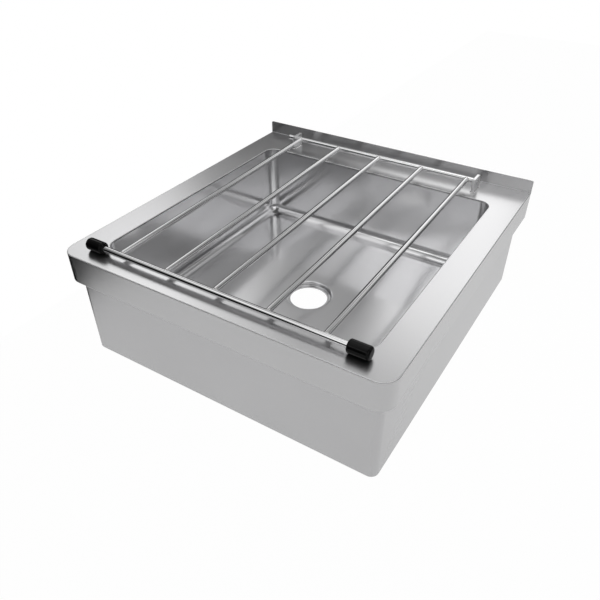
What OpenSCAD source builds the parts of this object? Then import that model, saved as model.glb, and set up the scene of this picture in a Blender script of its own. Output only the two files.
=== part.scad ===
/* [Sink top] */
// Width of the sink top, left to right
top_w = 560; // [440:1:720]
// Depth of the sink top, front edge to wall
top_d = 580; // [460:1:740]
// Height of the apron folded down round the front and sides
apron_h = 50; // [36:1:80]
// Height of the upstand against the wall, above the top
upstand_h = 23; // [12:1:80]
// Radius of the two front corners, seen from above
corner_r = 26; // [21:1:50]
// Thickness of the steel sheet
sheet_t = 1.2; // [0.8:0.1:1.6]
// Outer radius of the folded edges of the sheet
fold_r = 1.8; // [1.7:0.1:4]
// Inner radius of the fold between the top and the upstand
upstand_r = 1; // [1:0.5:6]

/* [Bowl] */
// Width of the top left on each side of the bowl
side_margin = 47.5; // [38:0.5:70]
// Depth of the top left in front of the bowl
front_margin = 47.5; // [42:0.5:70]
// Depth of the top left between the bowl and the wall
back_margin = 76; // [68:0.5:110]
// Depth of the bowl, from the top to the edge of its floor
bowl_depth = 141.5; // [90:0.5:150]
// Radius of the cove between the bowl's walls and its floor
cove_r = 18; // [8:0.5:30]
// How much larger the radius of the bowl's upright corners is than the cove
corner_extra = 2; // [1:0.5:10]
// Radius of the edge rolled down into the bowl
lip_r = 1.8; // [1.7:0.1:5]
// How far the floor falls from its edge to the waste
floor_fall = 4; // [1:0.5:8]

/* [Waste] */
// Diameter of the waste hole
waste_d = 66; // [50:1:76]
// Width of the flat seat round the waste hole, to the foot of the recess wall
waste_seat = 7; // [5:0.5:20]
// Depth of the pressed recess that takes the waste fitting's flange
recess_depth = 7.2; // [5:0.1:10]

/* [Casing] */
// Height of the whole sink, from the bottom edge of the casing to the top
body_h = 193; // [178:1:260]
// How far the casing stands in behind the face of the apron
casing_inset = 13.3; // [8:0.1:16]
// How far the casing runs up behind the apron
casing_tuck = 12; // [6:1:20]
// Width of the safe edge turned in along the bottom
hem_w = 12; // [8:0.5:20]
// Height of the safe edge's turned-up lip
hem_lip = 8; // [5:0.5:14]

/* [Wall fixing] */
// Diameter of the four holes for wall screws
fix_hole_d = 10; // [6:0.5:12]
// Distance from the side of the casing to the screw holes
fix_side = 66.7; // [40:0.1:100]
// Distance from the top down to the upper screw holes
fix_drop = 60; // [52:1:80]
// Height of the lower screw holes above the bottom edge
fix_low = 40; // [32:1:60]
// Width of the plates that back the screw holes
wall_plate_w = 50; // [30:1:70]
// Thickness of those plates
wall_plate_t = 3; // [2:0.5:5]

/* [Grate] */
// Diameter of the hinge rod and of the front rod
rod_d = 9.5; // [8:0.1:12]
// Diameter of the bars
bar_d = 9.2; // [6:0.1:9.4]
// Distance from the side of the bowl to the axis of the outer bar
outer_bar_in = 56.5; // [40:0.5:90]
// Height of the hinge axis above the top
hinge_h = 16.8; // [12:0.1:30]
// Distance from the wall to the hinge axis
hinge_wall = 41.5; // [26:0.5:50]
// Distance from the front edge of the bowl forward to the front rod's axis
front_rod_out = 16.5; // [14:0.5:24]
// Free play between an outer bar and its hinge bracket
side_play = 6; // [4:0.5:12]
// How far the grate lies left of the middle, within its play
grate_shift = 3.5; // [0:0.1:3.5]
// How far the hinge rod stands out past the left bracket, with the grate in the middle
rod_out_left = 12.3; // [6:0.1:30]
// How far the hinge rod stands out past the right bracket, with the grate in the middle
rod_out_right = 4.5; // [4.5:0.1:12]

/* [Hinge brackets] */
// Thickness of the bracket plates
bracket_t = 5.5; // [3:0.5:8]
// Depth of the bracket plates, front to back
bracket_d = 26; // [20:0.5:40]
// Height of the bracket plates above the hinge axis
bracket_top = 8.2; // [7:0.1:14]
// Radius of the brackets' upper corners
bracket_r = 2; // [1:0.5:4]

/* [Rubber buffers] */
// Diameter of the buffers, which carry the front of the grate
buffer_d = 19.4; // [14:0.2:26]
// Length of the buffers
buffer_l = 32; // [20:0.5:45]
// Thickness of rubber over the end of the rod
buffer_end = 4; // [2:0.5:8]
// Radius of the buffers' edges
buffer_r = 1.6; // [0.6:0.2:3]
// Distance from the side of the top to the buffer's outer end
buffer_side = 38.5; // [20:0.5:60]

/* [Under the top] */
// Inside width of the channels that stiffen the top
channel_w = 18; // [12:0.5:24]
// Height of those channels
channel_h = 20; // [12:1:30]
// Width of the flanges that weld the channels to the top
channel_flange = 8; // [5:0.5:10]
// Distance from the side of the top to the ends of the channels
channel_side = 60; // [40:1:90]
// Thickness of the damping pads under the bowl
pad_t = 3; // [1:0.5:6]
// Length of the damping pads, front to back
pad_l = 200; // [100:5:260]
// Width of the damping pads
pad_w = 75; // [40:1:90]
// Width and height of the earthing tag
tag_w = 20; // [14:1:30]
// How far the earthing tag stands out from the back panel, past the hem below it
tag_reach = 28; // [28:1:40]
// Thickness of the earthing tag
tag_t = 2; // [1:0.5:3]
// Diameter of the earthing tag's hole
tag_hole_d = 6.5; // [4:0.5:8]

/* [Hidden] */
$fn = 72;

// Running clearance on the radius between the hinge rod and its brackets
hinge_clear = 0.08;
// Gap left for the weld where a bar meets a rod, and for adhesive under a pad or inside a buffer
weld_gap = 0.05;
// Gap between the resting buffers and the top
rest_gap = 0.3;
// Overrun of every cutting solid
cut = 1;
// Chamfer on the ends of the rods
rod_chamfer = 0.8;
// Radius of the upstand's two upper corners
upstand_corner_r = 3;
// Gap between a turned-in edge and the next one at a corner
notch_gap = 1;
// Fold radii of the waste recess, as a share of its depth
recess_fold_share = 0.3;
// Width of floor left flat between the cove and the falling part
floor_rim = 6;
// Distance from the wall plates' ends to the centres of their holes
plate_end = 22;
// Width of the flange that welds the back panel to the top
panel_flange = 16;
// Clear distance between the waste recess and the damping pads
pad_clear = 20;

// The top's surface and the places that follow from it
top_z = body_h;
front_y = -top_d / 2;
wall_y = top_d / 2;
flat_back_y = wall_y - sheet_t - upstand_r;
// Bowl opening, measured between its walls
bowl_w = top_w - 2 * side_margin;
bowl_d = top_d - front_margin - back_margin;
bowl_y = (front_margin - back_margin) / 2;
bowl_r = cove_r + corner_extra;
floor_z = top_z - bowl_depth;
fall_r = min(bowl_w, bowl_d) / 2 - cove_r - floor_rim;
// Waste recess: wall radius, fold radius, and levels of its rim and its seat
recess_fold = recess_depth * recess_fold_share;
recess_rim_fold = recess_fold + sheet_t / 2;
recess_r = waste_d / 2 + waste_seat;
rim_z = floor_z - floor_fall;
seat_z = rim_z - recess_depth;
// Casing plan
casing_w = top_w - 2 * casing_inset;
casing_r = corner_r - casing_inset;
casing_top = top_z - apron_h + casing_tuck;
// Hinge axis, front rod axis and the slope of the bars between them
hinge_y = wall_y - hinge_wall;
hinge_z = top_z + hinge_h;
rest_y = front_y + front_margin - front_rod_out;
rest_z = top_z + rest_gap + buffer_d / 2;
bar_run = hinge_y - rest_y;
bar_rise = hinge_z - rest_z;
bar_len = sqrt(bar_run * bar_run + bar_rise * bar_rise);
bar_tilt = atan2(bar_rise, bar_run);
// Two bar spaces lie on each side of the middle bar
bar_pitch = (bowl_w / 2 - outer_bar_in) / 2;
bracket_x = 2 * bar_pitch + bar_d / 2 + side_play;
bracket_out = bracket_x + bracket_t;
buffer_out = top_w / 2 - buffer_side;
fix_x = casing_w / 2 - fix_side;

// A quarter of a folded sheet: outer radius r, thickness t, opening towards the origin
module fold(r, t) {
    intersection() {
        difference() {
            circle(r);
            circle(r - t);
        }
        square(r);
    }
}

// A profile carried in a straight line; its x points out of the side, its y points up
module straight(length) {
    rotate([90, 0, 0]) linear_extrude(length) children();
}

// A profile carried round a quarter turn, at radius r from the corner's centre
module turn(r) {
    rotate_extrude(angle = 90) translate([r, 0]) children();
}

// A profile carried down the left side, across the front and back up the right side.
// The first child runs along the straights and the second round the two corners.
module three_sides(w, y_front, y_back, r) {
    side_l = y_back - y_front - r;
    translate([w / 2, y_back, 0]) straight(side_l) children(0);
    translate([-w / 2, y_front + r, 0]) rotate([0, 0, 180]) straight(side_l) children(0);
    translate([w / 2 - r, y_front, 0]) rotate([0, 0, -90]) straight(w - 2 * r) children(0);
    translate([w / 2 - r, y_front + r, 0]) rotate([0, 0, -90]) turn(r) children(1);
    translate([r - w / 2, y_front + r, 0]) rotate([0, 0, 180]) turn(r) children(1);
}

// A profile carried all the way round a rectangle with rounded corners
module four_sides(w, d, r) {
    for (side = [0, 1]) {
        rotate([0, 0, 180 * side]) {
            translate([w / 2, d / 2 - r, 0]) straight(d - 2 * r) children();
            translate([r - w / 2, d / 2, 0]) rotate([0, 0, 90]) straight(w - 2 * r) children();
            translate([w / 2 - r, d / 2 - r, 0]) turn(r) children();
            translate([r - w / 2, d / 2 - r, 0]) rotate([0, 0, 90]) turn(r) children();
        }
    }
}

// A rectangle with four rounded corners, centred on the origin
module rounded(w, d, r) {
    square([w, d - 2 * r], center = true);
    square([w - 2 * r, d], center = true);
    for (x = [-1, 1], y = [-1, 1]) translate([x * (w / 2 - r), y * (d / 2 - r)]) circle(r);
}

// A rectangle from y_front to y_back whose two front corners are rounded
module front_rounded(w, y_front, y_back, r) {
    translate([-w / 2, y_front + r]) square([w, y_back - y_front - r]);
    translate([r - w / 2, y_front]) square([w - 2 * r, 2 * r]);
    for (x = [-1, 1]) translate([x * (w / 2 - r), y_front + r]) circle(r);
}

// Apron: folded over the edge of the top, down, and in again to the casing
module apron_profile() {
    translate([-fold_r, -fold_r]) fold(fold_r, sheet_t);
    translate([-sheet_t, fold_r - apron_h]) square([sheet_t, apron_h - 2 * fold_r]);
    translate([-fold_r, fold_r - apron_h]) mirror([0, 1]) fold(fold_r, sheet_t);
    translate([-casing_inset, -apron_h]) square([casing_inset - fold_r, sheet_t]);
}

// Upstand: folded up at the back of the top; x runs towards the wall
module upstand_profile() {
    translate([-sheet_t - upstand_r, upstand_r]) mirror([0, 1]) fold(upstand_r + sheet_t, sheet_t);
    translate([-sheet_t, upstand_r]) square([sheet_t, upstand_h - upstand_r]);
}

// Edge rolled down into the bowl; x runs away from the bowl
module lip_profile() {
    translate([lip_r, -lip_r]) mirror([1, 0]) fold(lip_r, sheet_t);
}

// The sink top: one sheet with its apron, upstand and rolled bowl edge
module deck() {
    color("silver") translate([0, 0, top_z]) {
        translate([0, 0, -sheet_t]) linear_extrude(sheet_t) difference() {
            front_rounded(top_w - 2 * fold_r, front_y + fold_r, flat_back_y, corner_r - fold_r);
            translate([0, bowl_y]) rounded(bowl_w + 2 * lip_r, bowl_d + 2 * lip_r, bowl_r + lip_r);
        }
        three_sides(top_w, front_y, wall_y, corner_r) {
            apron_profile();
            apron_profile();
        }
        translate([0, bowl_y, 0]) four_sides(bowl_w, bowl_d, bowl_r) lip_profile();
        upstand();
    }
}

// The upstand along the whole back, with its two upper corners rounded off
module upstand() {
    difference() {
        translate([-top_w / 2, wall_y, 0]) rotate([0, 0, 90]) straight(top_w) upstand_profile();
        for (x = [-1, 1]) {
            translate([x * (top_w / 2 - upstand_corner_r), wall_y + cut, upstand_h - upstand_corner_r]) {
                rotate([90, 0, 0]) linear_extrude(sheet_t + 2 * cut) difference() {
                    translate([x > 0 ? 0 : -upstand_corner_r - cut, 0]) square(upstand_corner_r + cut);
                    circle(upstand_corner_r);
                }
            }
        }
    }
}

// Bowl wall and the cove at its foot; x runs out of the bowl
module bowl_profile() {
    translate([0, cove_r - bowl_depth]) square([sheet_t, bowl_depth - cove_r - lip_r]);
    translate([-cove_r, cove_r - bowl_depth]) mirror([0, 1]) fold(cove_r + sheet_t, sheet_t);
}

// Recess for the waste fitting, from the waste hole out to the falling floor
module recess_profile() {
    translate([waste_d / 2, seat_z - sheet_t]) square([recess_r - recess_fold - waste_d / 2, sheet_t]);
    translate([recess_r - recess_fold, seat_z + recess_fold]) {
        mirror([0, 1]) fold(recess_fold + sheet_t, sheet_t);
    }
    translate([recess_r, seat_z + recess_fold]) {
        square([sheet_t, recess_depth - recess_fold - recess_rim_fold]);
    }
    translate([recess_r + recess_rim_fold, rim_z - recess_rim_fold]) {
        mirror([1, 0]) fold(recess_rim_fold, sheet_t);
    }
}

// A band of the falling floor, between two radii, a depth below its surface and a thickness
module fall_band(r_in, r_out, below, thick) {
    run = fall_r - recess_r - recess_rim_fold;
    drop_in = floor_fall * (fall_r - r_in) / run;
    drop_out = floor_fall * (fall_r - r_out) / run;
    polygon([[r_in, floor_z - drop_in - below], [r_out, floor_z - drop_out - below],
             [r_out, floor_z - drop_out - below - thick], [r_in, floor_z - drop_in - below - thick]]);
}

// The pressed bowl, with a floor that falls to the waste
module bowl() {
    color("gainsboro") translate([0, bowl_y, 0]) {
        translate([0, 0, top_z]) four_sides(bowl_w, bowl_d, bowl_r) bowl_profile();
        translate([0, 0, floor_z - sheet_t]) linear_extrude(sheet_t) difference() {
            rounded(bowl_w - 2 * cove_r, bowl_d - 2 * cove_r, corner_extra);
            circle(fall_r);
        }
        rotate_extrude() {
            fall_band(recess_r + recess_rim_fold, fall_r, 0, sheet_t);
            translate([fall_r, floor_z - sheet_t]) square([floor_rim / 2, sheet_t]);
            recess_profile();
        }
    }
}

// Safe edge: turned in along the bottom and up again at its end
module hem_profile() {
    translate([fold_r - hem_w, 0]) square([hem_w - 2 * fold_r, sheet_t]);
    translate([fold_r - hem_w, fold_r]) rotate(180) fold(fold_r, sheet_t);
    translate([-hem_w, fold_r]) square([sheet_t, hem_lip - fold_r]);
}

// Casing wall and the fold at its foot; x points out of the side
module casing_wall_profile() {
    translate([-sheet_t, fold_r]) square([sheet_t, casing_top - fold_r]);
    translate([-fold_r, fold_r]) mirror([0, 1]) fold(fold_r, sheet_t);
}

// The casing: one sheet round the front and sides, welded to the apron's return
module casing() {
    color("darkgray") three_sides(casing_w, front_y + casing_inset, wall_y - sheet_t, casing_r) {
        union() {
            casing_wall_profile();
            hem_profile();
        }
        casing_wall_profile();
    }
}

// The back panel: closes the casing and the ends of the apron, and carries the wall screws
module back_panel() {
    hem_l = casing_w - 2 * (hem_w + notch_gap);
    wide_l = top_w - 2 * fold_r;
    color("gray") difference() {
        union() {
            translate([-casing_w / 2, wall_y - sheet_t, fold_r]) {
                cube([casing_w, sheet_t, top_z - apron_h + sheet_t - fold_r]);
            }
            for (x = [-1, 1]) {
                translate([x * (casing_w / 2 + hem_l / 2) / 2, wall_y - sheet_t / 2, fold_r / 2]) {
                    cube([casing_w / 2 - hem_l / 2, sheet_t, fold_r], center = true);
                }
            }
            translate([-hem_l / 2, wall_y, 0]) rotate([0, 0, 90]) straight(hem_l) {
                translate([-fold_r, fold_r]) mirror([0, 1]) fold(fold_r, sheet_t);
                hem_profile();
            }
            translate([-wide_l / 2, wall_y, 0]) rotate([0, 0, 90]) straight(wide_l) {
                translate([-sheet_t, top_z - apron_h + sheet_t]) {
                    square([sheet_t, apron_h - 2 * sheet_t - fold_r]);
                }
                translate([-fold_r, top_z - sheet_t - fold_r]) fold(fold_r, sheet_t);
                translate([-panel_flange, top_z - 2 * sheet_t]) square([panel_flange - fold_r, sheet_t]);
            }
        }
        wall_screw_holes();
    }
}

// Cutters for the wall screws, right through the panel and its backing plates
module wall_screw_holes() {
    for (x = [-fix_x, fix_x], z = [fix_low, top_z - fix_drop]) {
        translate([x, wall_y + cut, z]) rotate([90, 0, 0]) {
            cylinder(h = sheet_t + wall_plate_t + 2 * cut, d = fix_hole_d);
        }
    }
}

// A strip welded inside the back panel, so that the wall screws can't tear the sheet
module wall_plate(side) {
    low = fix_low - plate_end;
    color("dimgray") difference() {
        translate([side * fix_x - wall_plate_w / 2, wall_y - sheet_t - wall_plate_t, low]) {
            cube([wall_plate_w, wall_plate_t, top_z - fix_drop + plate_end - low]);
        }
        wall_screw_holes();
    }
}

// A top-hat channel welded under the top, at a given place between front and back
module stiffener(y) {
    leg_x = channel_w / 2;
    color("dimgray") translate([channel_side - top_w / 2, y, top_z - sheet_t]) {
        rotate([0, 0, 90]) straight(top_w - 2 * channel_side) {
            for (x = [-1, 1]) {
                translate([x * (leg_x + sheet_t / 2), -channel_h / 2]) {
                    square([sheet_t, channel_h], center = true);
                }
                translate([x * (leg_x + sheet_t + channel_flange / 2), -sheet_t / 2]) {
                    square([channel_flange, sheet_t], center = true);
                }
            }
            translate([-leg_x, -channel_h]) square([channel_w, sheet_t]);
        }
    }
}

// Two damping pads stuck under the falling floor, left and right of the waste
module damping_pads() {
    pad_in = recess_r + pad_clear;
    color("black") translate([0, bowl_y, 0]) intersection() {
        rotate_extrude() fall_band(recess_r + recess_rim_fold, fall_r, sheet_t + weld_gap, pad_t);
        for (x = [-1, 1]) {
            translate([x * (pad_in + pad_w / 2), 0, rim_z]) {
                cube([pad_w, pad_l, bowl_depth], center = true);
            }
        }
    }
}

// The earthing tag: an angle welded inside the back panel, with a hole for the wire
module earthing_tag() {
    color("goldenrod") translate([-tag_w / 2, wall_y - sheet_t, fix_low]) difference() {
        union() {
            translate([0, -tag_t, 0]) cube([tag_w, tag_t, tag_w]);
            translate([0, -tag_reach, 0]) cube([tag_w, tag_reach, tag_t]);
        }
        translate([tag_w / 2, tag_w / 2 - tag_reach, -cut]) cylinder(h = tag_t + 2 * cut, d = tag_hole_d);
    }
}

// A plate welded upright on the top, bored for the hinge rod
module hinge_bracket(side) {
    height = hinge_h + bracket_top;
    color("lightgray") translate([side * (bracket_x + bracket_t / 2), hinge_y, top_z]) {
        rotate([90, 0, 90]) linear_extrude(bracket_t, center = true) difference() {
            union() {
                translate([-bracket_d / 2, 0]) square([bracket_d, height - bracket_r]);
                translate([bracket_r - bracket_d / 2, 0]) square([bracket_d - 2 * bracket_r, height]);
                for (y = [-1, 1]) {
                    translate([y * (bracket_d / 2 - bracket_r), height - bracket_r]) circle(bracket_r);
                }
            }
            translate([0, hinge_h]) circle(rod_d / 2 + hinge_clear);
        }
    }
}

// A round rod along X with chamfered ends
module rod(x_low, x_high) {
    r = rod_d / 2;
    length = x_high - x_low;
    translate([x_low, 0, 0]) rotate([90, 0, 90]) rotate_extrude() {
        polygon([[0, 0], [r - rod_chamfer, 0], [r, rod_chamfer], [r, length - rod_chamfer],
                 [r - rod_chamfer, length], [0, length]]);
    }
}

// The back rod of the grate, which turns in the two brackets
module hinge_rod() {
    color("white") translate([-grate_shift, hinge_y, hinge_z]) {
        rod(-bracket_out - rod_out_left, bracket_out + rod_out_right);
    }
}

// The front rod of the grate, whose ends carry the buffers
module front_rod() {
    rod_end = buffer_out - buffer_end - weld_gap;
    color("white") translate([-grate_shift, rest_y, rest_z]) rod(-rod_end, rod_end);
}

// A bar from the front rod to the hinge rod, coped to fit round both; place counts from the middle
module bar(place) {
    reach = rod_d + bar_d;
    color("white") translate([place * bar_pitch - grate_shift, 0, 0]) difference() {
        translate([0, rest_y, rest_z]) rotate([bar_tilt - 90, 0, 0]) cylinder(h = bar_len, d = bar_d);
        for (end = [[rest_y, rest_z], [hinge_y, hinge_z]]) {
            translate([-reach, end[0], end[1]]) rotate([0, 90, 0]) {
                cylinder(h = 2 * reach, r = rod_d / 2 + weld_gap);
            }
        }
    }
}

// A rubber buffer pushed over the end of the front rod
module buffer(side) {
    r = buffer_d / 2;
    bore = rod_d / 2 + weld_gap;
    color("black") translate([side * buffer_out - grate_shift, rest_y, rest_z]) rotate([0, -90 * side, 0]) {
        rotate_extrude() difference() {
            union() {
                translate([0, buffer_r]) square([r, buffer_l - 2 * buffer_r]);
                square([r - buffer_r, buffer_l]);
                for (z = [buffer_r, buffer_l - buffer_r]) translate([r - buffer_r, z]) circle(buffer_r);
            }
            translate([0, buffer_end]) square([bore, buffer_l]);
        }
    }
}

deck();
bowl();
casing();
back_panel();
stiffener(front_y + (front_margin - lip_r + fold_r) / 2);  // front_stiffener
stiffener(hinge_y);  // rear_stiffener
wall_plate(-1);  // wall_plate_left
wall_plate(1);  // wall_plate_right
damping_pads();
earthing_tag();
hinge_bracket(-1);  // hinge_bracket_left
hinge_bracket(1);  // hinge_bracket_right
hinge_rod();
front_rod();
bar(-2);  // bar_1
bar(-1);  // bar_2
bar(0);  // bar_3
bar(1);  // bar_4
bar(2);  // bar_5
buffer(-1);  // buffer_left
buffer(1);  // buffer_right
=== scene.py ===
# %% [markdown]
# # A mop service sink in folded and pressed steel
# The sink is a low steel box for a wall. A folded top carries a pressed bowl, and a hinged grate of
# polished bars lies over it with its front edge on two rubber buffers. This script dresses the exact
# solids with smooth surfaces and finishes. Every length is in metres, with X to the right, Y towards
# the wall and Z up.

# %% Load the solids
import math

import bmesh
import bpy
import numpy as np
from mathutils import Matrix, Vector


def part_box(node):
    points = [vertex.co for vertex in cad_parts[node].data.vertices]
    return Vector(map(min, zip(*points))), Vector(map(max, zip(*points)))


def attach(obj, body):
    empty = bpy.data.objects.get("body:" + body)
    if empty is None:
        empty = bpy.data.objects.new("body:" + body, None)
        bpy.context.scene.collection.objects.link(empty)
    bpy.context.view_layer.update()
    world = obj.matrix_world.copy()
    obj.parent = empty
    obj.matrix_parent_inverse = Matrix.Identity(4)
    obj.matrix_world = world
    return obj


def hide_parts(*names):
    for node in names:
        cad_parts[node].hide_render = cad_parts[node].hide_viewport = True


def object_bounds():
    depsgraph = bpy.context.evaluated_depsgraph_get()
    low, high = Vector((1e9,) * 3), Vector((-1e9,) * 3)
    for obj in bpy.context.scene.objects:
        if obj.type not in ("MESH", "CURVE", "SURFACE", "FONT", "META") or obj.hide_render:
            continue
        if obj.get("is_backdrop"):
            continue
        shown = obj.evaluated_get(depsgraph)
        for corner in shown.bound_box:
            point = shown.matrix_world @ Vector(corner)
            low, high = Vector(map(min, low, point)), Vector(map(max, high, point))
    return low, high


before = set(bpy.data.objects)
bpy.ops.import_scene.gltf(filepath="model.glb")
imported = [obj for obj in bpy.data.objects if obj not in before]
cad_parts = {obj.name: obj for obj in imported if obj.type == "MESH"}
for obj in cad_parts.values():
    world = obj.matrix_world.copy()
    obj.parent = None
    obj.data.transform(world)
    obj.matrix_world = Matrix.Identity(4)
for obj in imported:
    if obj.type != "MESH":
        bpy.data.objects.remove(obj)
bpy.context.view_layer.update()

# %% [markdown]
# ## Sizes
# A solid that a new surface replaces must not change its place, so the sizes are the solids' own.
# The outer ones are read from the solids' boxes. Fold radii and the sheet's thickness can't be read
# from a box, so they are written here once.

# %% Sizes of the sheet-metal parts
deck_low, deck_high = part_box("deck")
bowl_low, bowl_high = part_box("bowl")
casing_low, casing_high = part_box("casing")
sheet, bowl_depth = 0.0012, 0.1415
half_w = deck_high.x
front_y, wall_y = deck_low.y, deck_high.y
top_z = 0.193
upstand_top = deck_high.z
apron_foot = deck_low.z
corner_r, fold_r, upstand_r, upstand_corner = 0.026, 0.0014, 0.0005, 0.003
flat_back = wall_y - sheet - upstand_r
bowl_half = bowl_high.x - sheet
bowl_front, bowl_back = bowl_low.y + sheet, bowl_high.y - sheet
cove_r, lip_r, corner_extra = 0.018, 0.0014, 0.002
bowl_r = cove_r + corner_extra
floor_z = top_z - bowl_depth
drain_y = (bowl_front + bowl_back) / 2
print("top", round(2 * half_w, 4), "bowl", round(2 * bowl_half, 4), "x", round(bowl_back - bowl_front, 4))

# %% [markdown]
# ## How a surface becomes a mesh
# Each surface here is worked out as a grid of points: rows run one way over it and columns the other.
# Neighbouring points make a four-sided face. numpy works out all the points at once, which is
# fast and keeps the shape's formula in one readable line.

# %% The faces of a grid
def grid_faces(rows, cols, wrap_rows=False, wrap_cols=False):
    """Faces of a grid: point (i, j) is number i * cols + j, and each face joins four neighbours.
    A wrapped direction also joins its last line of points to its first."""
    i, j = np.meshgrid(np.arange(rows if wrap_rows else rows - 1),
                       np.arange(cols if wrap_cols else cols - 1), indexing="ij")
    i2, j2 = (i + 1) % rows, (j + 1) % cols
    return np.stack([i * cols + j, i * cols + j2, i2 * cols + j2, i2 * cols + j], -1).reshape(-1, 4)


print("a grid of 3 x 4 points has", len(grid_faces(3, 4)), "faces")

# %% [markdown]
# ## One mesh, closed and facing outwards
# A piece may need several grids, such as a flat and its folds. Their points are put in one list, and
# points that fall together are merged, so that a seam or a pole is closed and light can't find a gap.
# Blender can also turn all faces of a closed mesh outwards, which saves thinking about each grid's
# direction.

# %% From grids of points to one mesh
merge_gap, least_edge = 2e-6, 1e-7


def edited(mesh, edit):
    """Opens a mesh for editing, lets a function change it, and writes it back."""
    work = bmesh.new()
    work.from_mesh(mesh)
    edit(work)
    work.to_mesh(mesh)
    work.free()
    return mesh


def close_seams(work):
    """Merges points that fall together and drops edges without length."""
    bmesh.ops.remove_doubles(work, verts=work.verts, dist=merge_gap)
    bmesh.ops.dissolve_degenerate(work, edges=work.edges, dist=least_edge)


def mesh_from_grids(name, grids, flip=False):
    """One mesh from several grids. Each entry is (points, wrap_rows, wrap_cols) with points shaped
    rows x columns x 3. Flip turns each face over by reading its corners the other way round."""
    points, faces, first = [], [], 0
    for p, wrap_rows, wrap_cols in grids:
        rows, cols = p.shape[:2]
        f = grid_faces(rows, cols, wrap_rows, wrap_cols) + first
        faces.append(f[:, ::-1] if flip else f)
        points.append(p.reshape(-1, 3))
        first += rows * cols
    points, faces = np.concatenate(points), np.concatenate(faces)
    mesh = bpy.data.meshes.new(name)
    mesh.from_pydata(points.tolist(), [], faces.tolist())
    return edited(mesh, close_seams)


def faced_out(mesh):
    """Turns every face of a closed mesh to the outside."""
    return edited(mesh, lambda work: bmesh.ops.recalc_face_normals(work, faces=work.faces))


print("points closer than", merge_gap, "m are merged")

# %% [markdown]
# ## From a mesh to a piece of the sink
# Sheet metal is drawn here as a skin with no thickness, and Blender's Solidify gives it its 1.2 mm.
# Faces are shaded smooth, so a fold looks round, while an edge sharper than a set angle stays crisp.
# A piece rides on one of the two bodies, the sink or the grate, so that it moves with it, and hides
# the solids it stands in for.

# %% One piece
def add_piece(name, mesh, body, material, replaces=(), thickness=0.0, sharp=35):
    """Puts a mesh into the scene as a piece that rides on a body. A thickness turns a skin into a
    sheet that grows away from the side that shows. Edges over the sharp angle stay crisp."""
    piece = bpy.data.objects.new(name, mesh)
    bpy.context.scene.collection.objects.link(piece)
    if thickness:
        wall = piece.modifiers.new("sheet", "SOLIDIFY")
        wall.thickness, wall.offset, wall.use_even_offset = thickness, -1, True
        solid = bpy.data.meshes.new_from_object(piece.evaluated_get(bpy.context.evaluated_depsgraph_get()))
        piece.modifiers.clear()
        piece.data = solid
        solid.name = name
    piece.data.polygons.foreach_set("use_smooth", np.ones(len(piece.data.polygons), bool))
    piece.data.set_sharp_from_angle(angle=math.radians(sharp))
    piece.data.materials.clear()
    piece.data.materials.append(material)
    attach(piece, body)
    if replaces:
        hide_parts(*replaces)
    print(name, len(piece.data.polygons), "faces")
    return piece


print("pieces ride on the sink or the grate")

# %% [markdown]
# ## Camera
# The camera's numbers come from a fit to the straight edges of the photograph, so it stands where
# the photographer's did: to the right in front of the sink and above it. A small shift stands for
# the photograph's own crop.

# %% The camera
photo_px, sensor = 600, 36.0
focal_px, principal = 594.24, (303.03, 314.34)
yaw, pitch, roll = -0.55837, 0.66357, -0.00074
widths_from_front_edge = np.array([0.80113, -0.82451, 0.86584])
forward = np.array([math.sin(yaw) * math.cos(pitch), math.cos(yaw) * math.cos(pitch), -math.sin(pitch)])
level = np.array([math.cos(yaw), -math.sin(yaw), 0.0])
upward = np.cross(level, forward)
right = math.cos(roll) * level + math.sin(roll) * upward
above = np.cross(right, forward)

camera_data = bpy.data.cameras.new("camera")
camera_data.sensor_width, camera_data.lens = sensor, focal_px / photo_px * sensor
camera_data.shift_x = (photo_px / 2 - principal[0]) / photo_px
camera_data.shift_y = (principal[1] - photo_px / 2) / photo_px
camera_data.clip_start, camera_data.clip_end = 0.05, 50
camera = bpy.data.objects.new("camera", camera_data)
bpy.context.scene.collection.objects.link(camera)
pose = np.eye(4)
pose[:3, 0], pose[:3, 1], pose[:3, 2] = right, above, -forward
pose[:3, 3] = 2 * half_w * widths_from_front_edge + np.array([0, front_y, top_z])
camera.matrix_world = Matrix(pose.tolist())
bpy.context.scene.camera = camera
print("camera at", [round(v, 3) for v in pose[:3, 3]])

# %% [markdown]
# ## Finishes
# A finish is a small graph of nodes. Noise that is stretched one way gives the lines of a grinding
# belt, and noise with wide cells gives the slow change of a surface that hands have rubbed. An image
# could do the same, but noise has no edge and no pixel, and it follows the piece at any size. These
# helpers make the nodes that steel and rubber share.

# %% Nodes that every finish uses
def new_material(name):
    """An empty procedural material: its node tree, its main shader and its object coordinates."""
    material = bpy.data.materials.new(name)
    material.use_nodes = True
    nodes = material.node_tree.nodes
    shader = nodes["Principled BSDF"]
    place = nodes.new("ShaderNodeTexCoord")
    return material, nodes, material.node_tree.links, shader, place


def stretched_noise(nodes, links, place, stretch, detail=3.0):
    """Noise whose cells are long where the stretch is small and fine where it is large."""
    mapping = nodes.new("ShaderNodeMapping")
    mapping.inputs["Scale"].default_value = stretch
    noise = nodes.new("ShaderNodeTexNoise")
    noise.inputs["Scale"].default_value = 1.0
    noise.inputs["Detail"].default_value = detail
    links.new(place.outputs["Object"], mapping.inputs["Vector"])
    links.new(mapping.outputs["Vector"], noise.inputs["Vector"])
    return noise.outputs["Fac"]


def remap(nodes, links, value, low, high, out_low, out_high):
    """Carries low..high to out_low..out_high, clamped."""
    node = nodes.new("ShaderNodeMapRange")
    for key, number in (("From Min", low), ("From Max", high), ("To Min", out_low), ("To Max", out_high)):
        node.inputs[key].default_value = number
    links.new(value, node.inputs["Value"])
    return node.outputs["Result"]


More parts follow.
